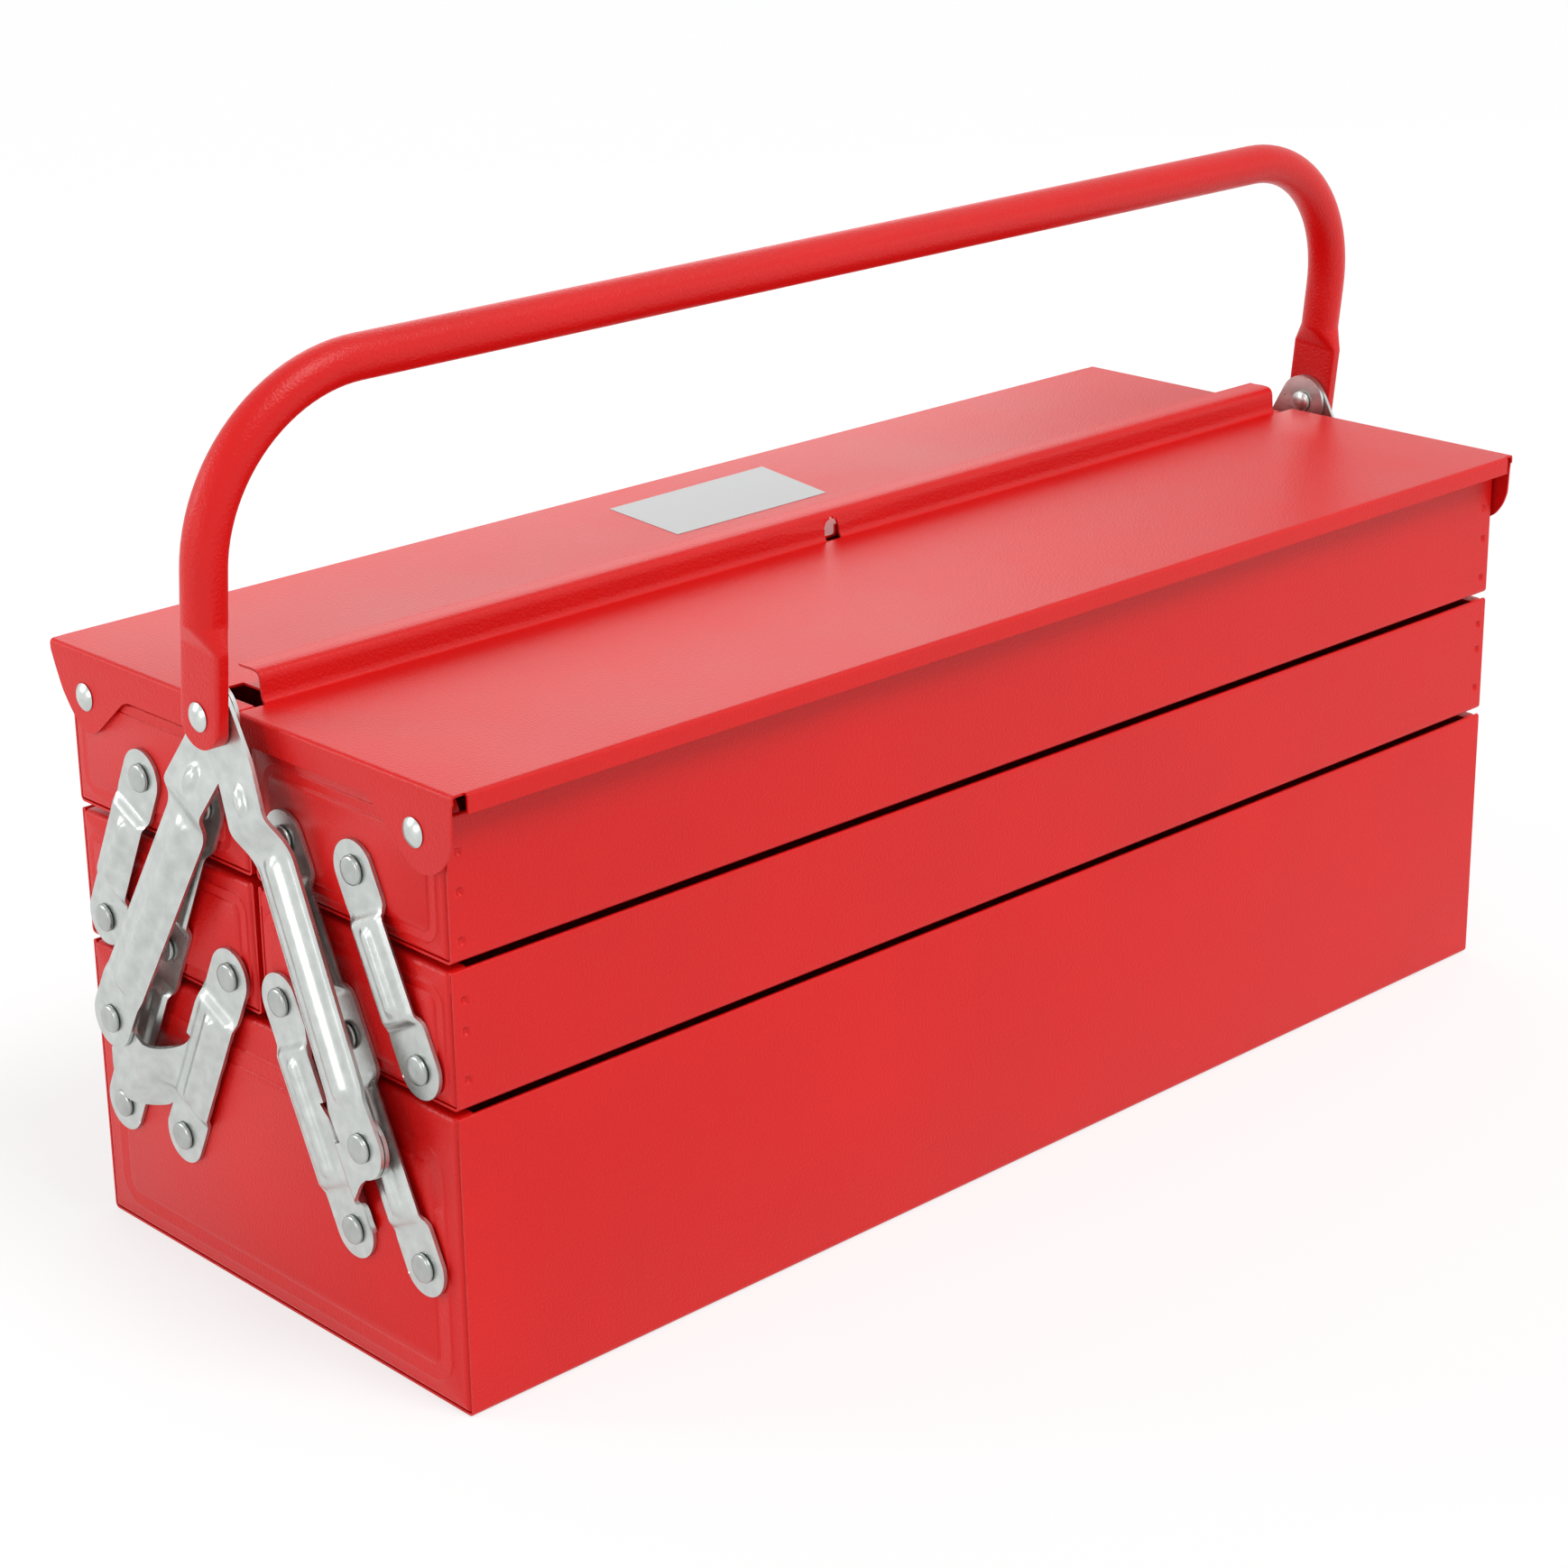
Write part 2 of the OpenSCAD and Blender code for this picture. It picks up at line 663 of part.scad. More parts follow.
// One leg of the tube from the grip down: the bend, the leg, the taper and the flattened end
module leg(inset) {
    r = tube_d / 2 - inset;
    flat_r = flat_w / 2 - inset;
    flat_half = flat_t / 2 - inset;
    leg_top = apex[1] + grip_h - handle_bend;
    flat_z = apex[1] + flat_up;
    translate([leg_x - handle_bend, 0, leg_top]) rotate([90, 0, 0])
        rotate_extrude(angle = 90, $fn = 96) translate([handle_bend, 0]) circle(r);
    translate([leg_x, 0, flat_z + flat_taper]) cylinder(r = r, h = leg_top - flat_z - flat_taper);
    translate([leg_x, 0, flat_z]) intersection() {
        cylinder(r1 = flat_r, r2 = r, h = flat_taper);
        rotate([90, 0, 0]) linear_extrude(2 * flat_w, center = true)
            polygon([
                [-flat_half, 0], [flat_half, 0], [r + bend_r / 4, flat_taper], [-r - bend_r / 4, flat_taper]
            ]);
    }
    translate([leg_x, 0, apex[1] - flat_down - inset]) intersection() {
        cylinder(r = flat_r, h = flat_down + flat_up + inset);
        translate([-flat_half, -flat_w, 0]) cube([2 * flat_half, 2 * flat_w, flat_down + flat_up + inset]);
    }
}

// Bent tube, or with inset its bore
module tube(inset) {
    translate([0, 0, apex[1] + grip_h]) rotate([0, 90, 0])
        cylinder(r = tube_d / 2 - inset, h = 2 * (leg_x - handle_bend), center = true);
    for (m = [0, 1])
        mirror([m, 0, 0]) leg(inset);
}

// Everything above the round tips of both legs
module above_tips() {
    round_z = apex[1] - flat_down + tip_r;
    rotate([90, 0, 90]) linear_extrude(3 * leg_x, center = true) {
        translate([-2 * tube_d, round_z]) square([4 * tube_d, 2 * grip_h]);
        translate([0, round_z]) circle(tip_r, $fn = 96);
    }
}

module handle() {
    color("crimson") translate([0, 0, apex[1]]) rotate([handle_lean, 0, 0])
    translate([0, 0, -apex[1]]) difference() {
        intersection() {
            tube(0);
            above_tips();
        }
        tube(tube_wall);
        translate([0, 0, apex[1]]) rotate([0, 90, 0]) cylinder(d = hole_d, h = 3 * leg_x, center = true);
    }
}

base_pan();
color("crimson") on_end("rear", "left") base_end();  // base_end_left
color("crimson") on_end("rear", "right") base_end();  // base_end_right
lid_front();
lid_rear();
handle();
base_rivets();
handle_rivets();
for (side = ["front", "rear"]) {
    mid_pan(side);
    top_pan(side);
    link_rivets(side, [mid_out, mid_mid, mid_in]);
    link_rivets(side, [top_out, top_in]);
    lid_rivets(side);
    for (end = ["left", "right"]) {
        at = str(side, "_", end);
        color("crimson") on_end(side, end) mid_end();
        color("crimson") on_end(side, end) top_end();
        long_link(side, end);
        link_plate(side, end);
        short_link(side, end);
        handle_arm(side, end);
        arm_rivet(side, end);
    }
}
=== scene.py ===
"""Looks of a red cantilever tool box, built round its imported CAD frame. Metres, +Z up, -Y is the front."""
import bpy
import numpy as np
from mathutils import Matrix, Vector
from mathutils.geometry import delaunay_2d_cdt


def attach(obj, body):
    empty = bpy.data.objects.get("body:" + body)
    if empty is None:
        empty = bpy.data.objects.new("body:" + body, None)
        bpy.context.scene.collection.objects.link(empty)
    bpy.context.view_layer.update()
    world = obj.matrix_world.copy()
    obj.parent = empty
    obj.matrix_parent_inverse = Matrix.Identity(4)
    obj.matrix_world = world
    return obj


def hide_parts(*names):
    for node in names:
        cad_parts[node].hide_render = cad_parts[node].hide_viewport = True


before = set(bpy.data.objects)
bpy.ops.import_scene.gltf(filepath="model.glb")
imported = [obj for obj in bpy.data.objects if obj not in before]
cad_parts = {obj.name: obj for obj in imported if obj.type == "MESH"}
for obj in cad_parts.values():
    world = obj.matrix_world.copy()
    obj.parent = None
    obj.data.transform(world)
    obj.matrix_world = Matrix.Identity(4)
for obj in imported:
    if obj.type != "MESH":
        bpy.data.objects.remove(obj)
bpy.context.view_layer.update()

# Trays: five folded pans of red powder-coated sheet steel. Each is one sheet bent into a front wall, a
# bottom and a rear wall. The rims are hemmed inwards, and small crimps beside each corner hold the end panel.
MM = 0.001
half_l, half_w, inner_a = 280.0, 108.0, 1.5
tray_levels = {"base": (0.0, 110.5), "mid": (113.0, 162.5), "top": (165.0, 216.0)}
top_inner_rim = 224.5
sheet, rim_r, hem_depth, fold_r = 0.9, 1.0, 7.0, 2.0
wall_end = 0.7
crimp_x, crimp_size, crimp_depth, crimp_reach = 5.2, 1.15, 1.0, 2.4
crimp_heights = {"base": [95.0, 62.0, 28.0], "mid": [151.7, 140.7, 123.4], "top": [203.2, 189.5, 172.4]}
coat_red, coat_rough = (0.600, 0.0035, 0.003, 1.0), 0.36


def powder_coat(name, grain=1.0):
    """Red powder coat: one colour with faint cloudy changes, a fine orange-peel bump and a broad sheet waviness."""
    m = bpy.data.materials.new(name)
    m.use_nodes = True
    n, l = m.node_tree.nodes, m.node_tree.links
    shader = n["Principled BSDF"]
    shader.inputs["Specular IOR Level"].default_value = 0.30
    where = n.new("ShaderNodeTexCoord")
    cloud, peel, wave = (n.new("ShaderNodeTexNoise") for _ in range(3))
    for node, scale, detail in ((cloud, 14, 3), (peel, 1000, 2), (wave, 9, 1)):
        node.inputs["Scale"].default_value, node.inputs["Detail"].default_value = scale, detail
        l.new(where.outputs["Object"], node.inputs["Vector"])
    tint = n.new("ShaderNodeMix")
    tint.data_type = "RGBA"
    tint.inputs["A"].default_value = tuple(c * 0.90 for c in coat_red[:3]) + (1,)
    tint.inputs["B"].default_value = tuple(c * 1.10 for c in coat_red[:3]) + (1,)
    l.new(cloud.outputs["Fac"], tint.inputs["Factor"])
    l.new(tint.outputs["Result"], shader.inputs["Base Color"])
    gloss = n.new("ShaderNodeMapRange")
    gloss.inputs["To Min"].default_value = coat_rough - 0.05
    gloss.inputs["To Max"].default_value = coat_rough + 0.06
    l.new(cloud.outputs["Fac"], gloss.inputs["Value"])
    l.new(gloss.outputs["Result"], shader.inputs["Roughness"])
    soft, fine = n.new("ShaderNodeBump"), n.new("ShaderNodeBump")
    soft.inputs["Strength"].default_value, soft.inputs["Distance"].default_value = 0.25, 0.0012
    fine.inputs["Strength"].default_value, fine.inputs["Distance"].default_value = 0.85 * grain, 0.00024
    l.new(wave.outputs["Fac"], soft.inputs["Height"])
    l.new(peel.outputs["Fac"], fine.inputs["Height"])
    l.new(soft.outputs["Normal"], fine.inputs["Normal"])
    l.new(fine.outputs["Normal"], shader.inputs["Normal"])
    return m


def arc(ca, cb, r, start, end, n=6):
    """Points at even angles on a circle round (ca, cb), from start to end in degrees."""
    t = np.radians(np.linspace(start, end, n))
    return np.column_stack([ca + r * np.cos(t), cb + r * np.sin(t)])


def grid_faces(rows, cols, closed=False):
    """Quads between neighbouring rows and columns of a grid; closed also joins the last column to the first."""
    i, j = np.meshgrid(np.arange(rows - 1), np.arange(cols if closed else cols - 1), indexing="ij")
    k = (j + 1) % cols
    return np.stack([i * cols + j, (i + 1) * cols + j, (i + 1) * cols + k, i * cols + k], -1).reshape(-1, 4)


def make_piece(name, shells, material, body, stands_for, wall=0.0, edge=0.25):
    """Joins shells of (points in mm, blocks of faces) into one mesh in metres. Solidify adds the wall inwards."""
    starts = np.cumsum([0] + [len(p) for p, _ in shells])
    faces = [face for (_, blocks), s in zip(shells, starts) for block in blocks for face in (block + s).tolist()]
    points = np.vstack([p for p, _ in shells])
    mesh = bpy.data.meshes.new(name)
    mesh.from_pydata((points * MM).tolist(), [], faces)
    mesh.validate()
    mesh.shade_smooth()
    piece = bpy.data.objects.new(name, mesh)
    bpy.context.scene.collection.objects.link(piece)
    weld = piece.modifiers.new("weld", "WELD")
    weld.merge_threshold = 0.00001
    if wall:
        solid = piece.modifiers.new("wall", "SOLIDIFY")
        solid.thickness, solid.offset, solid.use_even_offset = wall * MM, -1, False
    bevel = piece.modifiers.new("edges", "BEVEL")
    bevel.width, bevel.segments, bevel.limit_method = edge * MM, 2, "ANGLE"
    bevel.angle_limit, bevel.harden_normals = np.radians(50), True
    mesh.materials.append(material)
    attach(piece, body)
    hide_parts(*stands_for)
    return piece


def mirrored(points, blocks, sx, sy):
    """The shell for another end or side: x and y times sx and sy, with the faces turned over after one flip."""
    p = np.array(points, float) * [sx, sy, 1]
    return p, ([block[:, ::-1] for block in blocks] if sx * sy < 0 else blocks)


def pan_profile(a0, a1, b0, b_in, b_out):
    """Outer face of a folded pan from the inner hem over its rim, down the wall, along the bottom and up again."""
    return np.vstack([
        [[a0 + 2 * rim_r, b_in - hem_depth]], arc(a0 + rim_r, b_in - rim_r, rim_r, 0, 180, 8),
        arc(a0 + fold_r, b0 + fold_r, fold_r, 180, 270), arc(a1 - fold_r, b0 + fold_r, fold_r, 270, 360),
        np.column_stack([np.full(40, a1), np.linspace(b0 + fold_r + 1, b_out - rim_r - 1, 40)]),
        arc(a1 - rim_r, b_out - rim_r, rim_r, 0, 180, 8), [[a1 - 2 * rim_r, b_out - hem_depth]],
    ])


def pan_shell(a0, a1, b0, b_in, b_out, crimps):
    """Profile carried along X. A crimp is a Gaussian dent in the outer wall beside each end."""
    x_end, near, between = half_l - wall_end, np.linspace(-4, 4, 21), np.linspace(-200, 200, 5)
    x = np.concatenate([[-x_end], near - half_l + crimp_x, between, near + half_l - crimp_x, [x_end]])
    p = pan_profile(a0, a1, b0, b_in, b_out)
    z = p[:, 1].copy()
    extra = np.concatenate([np.linspace(c - crimp_reach, c + crimp_reach, 13) for c in crimps])
    wall = (np.abs(p[:, 0] - a1) < 1e-6) & (z > b0 + fold_r + 0.5) & (z < b_out - rim_r - 0.5)
    first, last = np.flatnonzero(wall)[[0, -1]]
    heights = np.unique(np.round(np.concatenate([z[wall], extra]), 2))
    p = np.vstack([p[:first], np.column_stack([np.full(len(heights), a1), heights]), p[last + 1:]])
    gx, gi = np.meshgrid(x, np.arange(len(p)))
    y, z = p[gi, 0], p[gi, 1]
    dent = sum(np.exp(-(((np.abs(gx) - half_l + crimp_x) / crimp_size) ** 4 + ((z - c) / (crimp_size * 1.2)) ** 4))
               for c in crimps)
    y = y - np.where(np.abs(y - a1) < 1e-6, dent * crimp_depth, 0)
    return np.stack([gx, y, z], -1).reshape(-1, 3), [grid_faces(len(p), len(x))]


red = powder_coat("red_powder_coat")
b0, b1 = tray_levels["base"]
make_piece("base_tray_sheet", [pan_shell(-half_w, half_w, b0, b1, b1, crimp_heights["base"])], red, "base",
           ["base_pan"], wall=sheet)
for side, sy in (("front", -1), ("rear", 1)):
    for level in ("mid", "top"):
        b0, b1 = tray_levels[level]
        shell = pan_shell(inner_a, half_w, b0, top_inner_rim if level == "top" else b1, b1, crimp_heights[level])
        make_piece(f"{level}_tray_sheet_{side}", [mirrored(*shell, 1, sy)], red, f"{side}_{level}_tray",
                   [f"{level}_pan_{side}"], wall=sheet)

# End panels: pressed steel plates in the same red coat. The rim is folded in and spot-fixed to the pan, and a
# flat field stands out of each panel by a millimetre, in two steps with a level band between them.
panel_gap, panel_fold, flange_w, field_rise = 1.05, 2.2, 8.0, 1.1
hinge_a, hinge_z, top_panel_h, panel_top_gap = 95.0, 208.5, 224.5, 0.2
panel_fields = {
    "base": ((-100.0, 6.5, 100.0, 97.0), 4.0), "mid": ((5.0, 116.0, 104.0, 156.5), 3.0),
    "top": ((10.0, 170.0, 103.0, 211.5), 3.0),
}
band_w = {"base": 8.0, "mid": 4.5, "top": 4.5}
band_steps = [0, 0.13, 0.2, 0.8, 0.87, 1], [0, 0.46, 0.5, 0.5, 0.54, 1]


def rounded_rings(box, radii, inset, height):
    """Rings on the panel's plane: each is the box set in by its inset at its own height, with quarter circles at
    the corners whose radii shrink by the inset. The corners run from lower left round to upper left."""
    x0, y0, x1, y1 = box
    corner = np.array([[x0, y0, 1, 1, 180], [x1, y0, -1, 1, 270], [x1, y1, -1, -1, 0], [x0, y1, 1, -1, 90]])
    r = np.maximum(np.array(radii) - inset[:, None], 0.15)
    ca = corner[:, 0] + corner[:, 2] * (inset[:, None] + r)
    cb = corner[:, 1] + corner[:, 3] * (inset[:, None] + r)
    t = np.radians(corner[:, 4:] + np.linspace(0, 90, 8))
    a, b = ca[..., None] + r[..., None] * np.cos(t), cb[..., None] + r[..., None] * np.sin(t)
    return np.stack([half_l + height[:, None, None] + 0 * a, a, b], -1).reshape(len(inset), -1, 3)


def panel_shell(box, radii, field, field_r, band):
    """From the flange over its fold, across the border and up the band to the flat field, ring after ring."""
    turn = np.radians(np.linspace(0, 90, 7))
    rim = rounded_rings(box, radii, np.append(0, panel_fold * (1 - np.cos(turn))),
                        np.append(-flange_w, panel_fold * (np.sin(turn) - 1)))
    t = np.linspace(0, 1, 31)
    slope = field_rise * np.interp(t, *band_steps)
    rings = np.concatenate([rim, rounded_rings(field, [field_r + band] * 4, band * t, slope)])
    m, n = rings.shape[:2]
    return rings.reshape(-1, 3), [grid_faces(m, n, closed=True)[:, ::-1], np.arange((m - 1) * n, m * n)[None]]


panel_boxes = {
    "base": ((-half_w + panel_gap, panel_gap, half_w - panel_gap, tray_levels["base"][1] - panel_top_gap),
             [1, 1, 2.5, 2.5]),
    "mid": ((inner_a + panel_gap, tray_levels["mid"][0] + panel_gap, half_w - panel_gap,
             tray_levels["mid"][1] - panel_top_gap), [1, 1, 2.5, 2.5]),
    "top": ((inner_a + panel_gap, tray_levels["top"][0] + panel_gap, half_w - panel_gap, top_panel_h),
            [1, 1, 12, 2.5]),
}
for level in ("base", "mid", "top"):
    shell = panel_shell(*panel_boxes[level], *panel_fields[level], band_w[level])
    for end, sx in (("left", -1), ("right", 1)):
        if level == "base":
            make_piece(f"base_panel_{end}", [mirrored(*shell, sx, 1)], red, "base",
                       [f"base_end_{end}"], wall=sheet)
            continue
        for side, sy in (("front", -1), ("rear", 1)):
            make_piece(f"{level}_panel_{side}_{end}", [mirrored(*shell, sx, sy)], red, f"{side}_{level}_tray",
                       [f"{level}_end_{side}_{end}"], wall=sheet)

# Lids: two steel sheets in the red coat, with a long flange at the outer edge and a skirt with a round ear at each
# end. The front lid carries a pressed ridge whose lip laps over the rear lid's upstand; both have a padlock hole.
lid_z, lid_x, lid_y, lid_bend = 226.0, 282.3, 117.0, 1.6
flange_low, flange_x = 219.0, 276.8
skirt_edge = {
    "front": [(0, 215.2), (69, 215.2), (73, 213.9), (85, 203.2), (88, 200.2), (92, 196.8), (96, 195.3),
              (99, 195.1), (104, 196.1), (109, 199.3), (112.4, 204.0), (114.2, 209.5), (114.7, 222.3), (118, 223.2)],
    "rear": [(0, 212.8), (67, 212.8), (71, 211.4), (88, 197.0), (92, 195.1), (96, 195.1), (101, 198.0),
             (105, 202.2), (109.5, 208.2), (113.4, 217.0), (115.4, 222.3), (118, 223.2)],
}
ridge_half, rear_half, deck_start = 270.3, 262.3, 24.0
lock_w, lock_h = 8.0, 8.5


def skirt_bottom(y, side):
    """Lower edge of the end skirt, with the traced line's corners rounded over two millimetres."""
    at, low = np.array(skirt_edge[side]).T
    return np.mean([np.interp(y + d * np.where(y > 112, 0.15, 1.0), at, low) for d in np.linspace(-1, 1, 9)], 0)


def lid_shell(side):
    """Across X the lid is a profile: up a skirt from skirt_bottom(y), round a bend, over the top and down again. It
    is carried along Y. The flange is a bend and a drop carried along X between the notches."""
    start = 0.8 if side == "front" else deck_start
    y = np.concatenate([np.linspace(start, 64, 10), np.linspace(66, 113.6, 60), np.linspace(113.8, lid_y - 1.6, 9)])
    foot, bend = lid_z - lid_bend, np.radians(np.linspace(0, 90, 6)[1:])
    skirt_z = foot - (foot - skirt_bottom(y, side))[:, None] * [1, 0.66, 0.33, 0]
    half_x = np.append(np.full(4, lid_x), lid_x - lid_bend + lid_bend * np.cos(bend))
    half_z = np.hstack([skirt_z, np.tile(foot + lid_bend * np.sin(bend), (len(y), 1))])
    deck_x = np.linspace(lid_x - lid_bend, -lid_x + lid_bend, 15)[1:-1]
    x = np.concatenate([half_x, deck_x, -half_x[::-1]])
    z = np.hstack([half_z, np.full((len(y), 13), lid_z), half_z[:, ::-1]])
    top = np.stack([np.tile(x, (len(y), 1)), np.tile(y[:, None], len(x)), z], -1).reshape(-1, 3)
    edge = np.vstack([arc(lid_y - lid_bend, lid_z - lid_bend, lid_bend, 90, 0, 7), [[lid_y, flange_low]]])
    return [(top, [grid_faces(len(y), len(x))]), strip_shell(edge, np.linspace(-flange_x, flange_x, 21))]


def strip_shell(profile, x_cuts):
    """A profile of (y, z) points carried along X through the cuts."""
    gi, gx = np.meshgrid(np.arange(len(profile)), x_cuts, indexing="ij")
    return (np.stack([gx, profile[gi, 0], profile[gi, 1]], -1).reshape(-1, 3),
            [grid_faces(len(profile), len(x_cuts))[:, ::-1]])


def lock_cut(points, blocks):
    """Moves the points beside the padlock hole's top on to its arch, and leaves out the faces inside the hole."""
    p, r = points.copy(), lock_w / 2
    centre, reach = lid_z + lock_h - r, np.sqrt(np.clip(r * r - points[:, 0] ** 2, 0, None))
    rise = p[:, 2] - centre
    arch = (np.abs(p[:, 0]) <= r + 1e-6) & (rise > 1e-6) & (rise < r + 1e-6)
    p[arch, 2] = centre + rise[arch] * reach[arch] / r
    mid = p[blocks[0]].mean(1)
    roof = centre + np.sqrt(np.clip(r * r - mid[:, 0] ** 2, 0, None))
    gone = (np.abs(mid[:, 0]) < r) & (mid[:, 2] > lid_z + 0.2) & (mid[:, 2] < roof)
    return p, [blocks[0][~gone]]


def cuts_past_hole(half):
    """Cuts along X from -half to half, close together across the padlock hole."""
    hole = lock_w / 2
    return np.concatenate([np.linspace(-half, -hole, 12), np.linspace(-hole, hole, 9)[1:-1],
                           np.linspace(hole, half, 12)])


for side, sy in (("front", -1), ("rear", 1)):
    shells = [mirrored(*s, 1, sy) for s in lid_shell(side)]
    if side == "front":
        ridge = np.vstack([
            [[-0.8, lid_z]], arc(-0.4, lid_z + 1.6, 1.6, 275, 345, 5),
            np.column_stack([np.linspace(1.5, 1.9, 7), np.linspace(lid_z + 2.2, lid_z + 7.6, 7)]),
            arc(5.2, lid_z + 7.8, 3.2, 175, 95, 7),
            [[7.5, lid_z + 11.2], [11.5, lid_z + 11.0], [14.3, lid_z + 11.1]],
        ])
        shells.append(lock_cut(*strip_shell(ridge, cuts_past_hole(ridge_half))))
    else:
        deck = strip_shell(np.array([[6.5, lid_z], [deck_start, lid_z]]), np.linspace(-rear_half, rear_half, 3))
        upstand = np.vstack([
            np.column_stack([np.full(6, 4.9), np.linspace(lid_z + 7.6, lid_z + 1.8, 6)]),
            arc(6.5, lid_z + 1.6, 1.6, 180, 270, 5), [[6.5, lid_z]],
        ])
        shells += [deck, lock_cut(*strip_shell(upstand, cuts_past_hole(rear_half)))]
    make_piece(f"lid_sheet_{side}", shells, red, f"{side}_lid", [f"lid_{side}"], wall=sheet)

# Handle: one bent steel tube in the red coat, leaning a little to the front. Both ends are pressed flat, with
# rounded tips, and riveted through to the arms.
tube_r, grip_z, bend_r, leg_x, lean_deg = 8.0, 342.0, 62.0, 294.85, 6.0
pivot_z, flat_top, taper_l, flat_down, tip_r, tip_rise = 228.0, 252.0, 11.0, 11.5, 11.5, 11.0
flat_half_t, flat_half_w, flat_edge = 2.75, 11.0, 0.3


def tube_section(flat, n=64):
    """Points round the tube for every station: a circle where flat is 0, a slab with rounded edges where it is 1,
    and the weighted mean of both between. Returns the distances outwards and crosswise."""
    t = np.linspace(0, 2 * np.pi, n, endpoint=False)
    c, s, f = np.cos(t), np.sin(t), flat[:, None]
    return (c * tube_r * (1 - f) + np.sign(c) * np.abs(c) ** flat_edge * flat_half_t * f,
            s * tube_r * (1 - f) + np.sign(s) * np.abs(s) ** flat_edge * flat_half_w * f)


tip, bend_z = pivot_z - flat_down, grip_z - bend_r
low_z = np.append(tip + tip_rise * (1 - np.cos(np.linspace(0.08, np.pi / 2, 12))),
                  np.linspace(pivot_z + 0.5, flat_top, 6))
t, a = np.linspace(0.06, 1, 18), np.append(np.radians(np.linspace(0, 90, 25)), np.pi / 2)
pressed = np.clip((0.9 - t) / 0.8, 0, 1)
flat = np.concatenate([np.ones(len(low_z)), pressed, np.zeros(len(a))])
angle = np.concatenate([np.zeros(len(low_z) + len(t)), a])
line_x = np.concatenate([np.full(len(low_z) + len(t), leg_x), leg_x - bend_r + bend_r * np.cos(a)])
line_x[-1] = 0
line_z = np.concatenate([low_z, flat_top + taper_l * t, bend_z + bend_r * np.sin(a)])
tip_half = np.sqrt(np.clip(tip_r ** 2 - np.clip(tip + tip_r - line_z, 0, None) ** 2, 0.5, None))
out, wide = tube_section(flat)
wide = np.clip(wide, -tip_half[:, None], tip_half[:, None])
right = np.stack([line_x[:, None] + out * np.cos(angle)[:, None], wide,
                  line_z[:, None] + out * np.sin(angle)[:, None]], -1)
tube = np.concatenate([right, right[-2::-1] * [-1, 1, 1]])
m, k = tube.shape[:2]
turn, height = np.radians(lean_deg), tube[..., 2] - pivot_z
tube = np.stack([tube[..., 0], tube[..., 1] * np.cos(turn) - height * np.sin(turn),
                 pivot_z + tube[..., 1] * np.sin(turn) + height * np.cos(turn)], -1)
tube_faces = [grid_faces(m, k, closed=True)[:, ::-1], np.arange(k)[None, ::-1],
              np.arange((m - 1) * k, m * k)[None]]
make_piece("handle_tube", [(tube.reshape(-1, 3), tube_faces)], powder_coat("handle_coat", 1.3), "handle",
           ["handle"], edge=0.5)

# Links: flat strips pressed from zinc-plated steel, with flat round ends, a raised middle and a rib along it.
# The plates are wider pressings with a side arm that climbs to an ear for the handle arm.
link_lean, link_w, link_t = 26.0, 21.0, 1.5
link_s, link_raise, pad_l, step_l, rib_h, rib_w = 1.3, 2.9, 13.5, 4.6, 1.9, 7.6
link_waist, edge_drop, edge_w = 1.1, 1.3, 3.4
base_out, mid_z, top_z, mid_inner_y = (89.5, 51.0), 124.5, 186.5, 15.1
lean_t, lean_c = np.tan(np.radians(link_lean)), np.cos(np.radians(link_lean))
lower_l, upper_l = (mid_z - base_out[1]) / lean_c, (top_z - mid_z) / lean_c
mid_mid = (base_out[0] - (mid_z - base_out[1]) * lean_t, mid_z)
spacing = mid_mid[0] - mid_inner_y
base_in = (base_out[0] - spacing, base_out[1])


def zinc_plate(name, dark=1.0):
    """Zinc plating: grey metal with cloudy mottling in its colour and bump and small specks in its gloss."""
    m = bpy.data.materials.new(name)
    m.use_nodes = True
    n, l = m.node_tree.nodes, m.node_tree.links
    shader = n["Principled BSDF"]
    shader.inputs["Metallic"].default_value = 0.92
    where = n.new("ShaderNodeTexCoord")
    cloud, speck = n.new("ShaderNodeTexNoise"), n.new("ShaderNodeTexNoise")
    cloud.inputs["Scale"].default_value, cloud.inputs["Detail"].default_value = 170, 8
    speck.inputs["Scale"].default_value, speck.inputs["Detail"].default_value = 600, 3
    for node in (cloud, speck):
        l.new(where.outputs["Object"], node.inputs["Vector"])
    tint = n.new("ShaderNodeValToRGB")
    tint.color_ramp.elements[0].position, tint.color_ramp.elements[1].position = 0.28, 0.74
    tint.color_ramp.elements[0].color = (0.48 * dark, 0.505 * dark, 0.49 * dark, 1)
    tint.color_ramp.elements[1].color = (0.61 * dark, 0.64 * dark, 0.62 * dark, 1)
    l.new(cloud.outputs["Fac"], tint.inputs["Fac"])
    l.new(tint.outputs["Color"], shader.inputs["Base Color"])
    gloss = n.new("ShaderNodeMapRange")
    gloss.inputs["To Min"].default_value, gloss.inputs["To Max"].default_value = 0.24, 0.34
    l.new(speck.outputs["Fac"], gloss.inputs["Value"])
    l.new(gloss.outputs["Result"], shader.inputs["Roughness"])
    bump = n.new("ShaderNodeBump")
    bump.inputs["Strength"].default_value, bump.inputs["Distance"].default_value = 0.10, 0.0001
    l.new(cloud.outputs["Fac"], bump.inputs["Height"])
    l.new(bump.outputs["Normal"], shader.inputs["Normal"])
    return m


def smooth(x, a, b):
    """0 below a, 1 above b, and a smooth step between them."""
    t = np.clip((x - a) / (b - a), 0, 1)
    return t * t * (3 - 2 * t)


